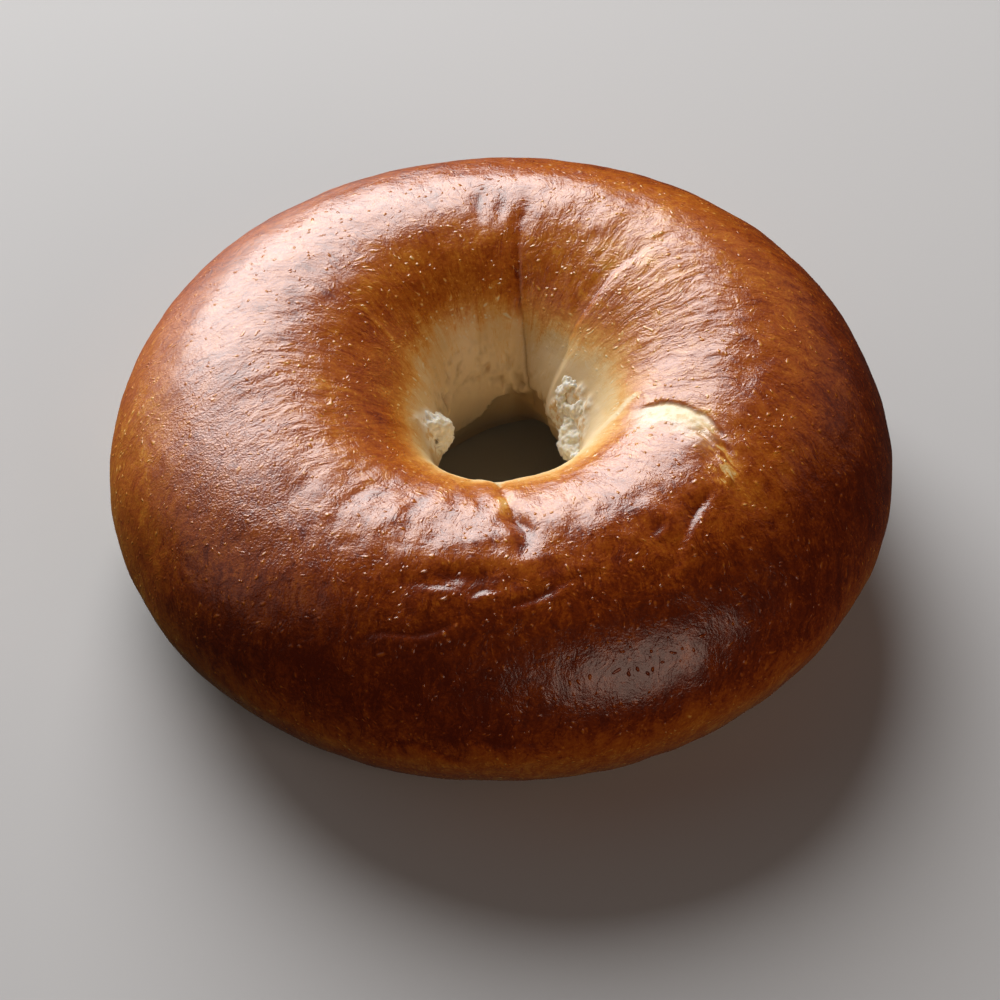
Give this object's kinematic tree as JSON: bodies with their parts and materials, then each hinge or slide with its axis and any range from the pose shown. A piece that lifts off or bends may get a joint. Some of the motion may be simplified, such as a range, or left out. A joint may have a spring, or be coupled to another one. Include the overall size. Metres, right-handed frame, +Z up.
{
  "type": "bagel",
  "caption": "Plain baked bagel: a plump ring of glossy brown crust with pale torn crumb in its small central hole and a flat base.",
  "frame": {"origin": "middle of the box around the bagel, on the surface it rests on", "axes": "+Z up out of the crown; -Y towards the side with the short nick at the rim of the hole; +X to the right of it, towards the pale split"},
  "size_m": [0.1146, 0.1146, 0.0372],
  "materials": {
    "crust": "glossy baked bread crust, chestnut brown, paler in the hole and under the base"
  },
  "bodies": {
    "root": {"bagel": "crust"}
  },
  "joints": []
}
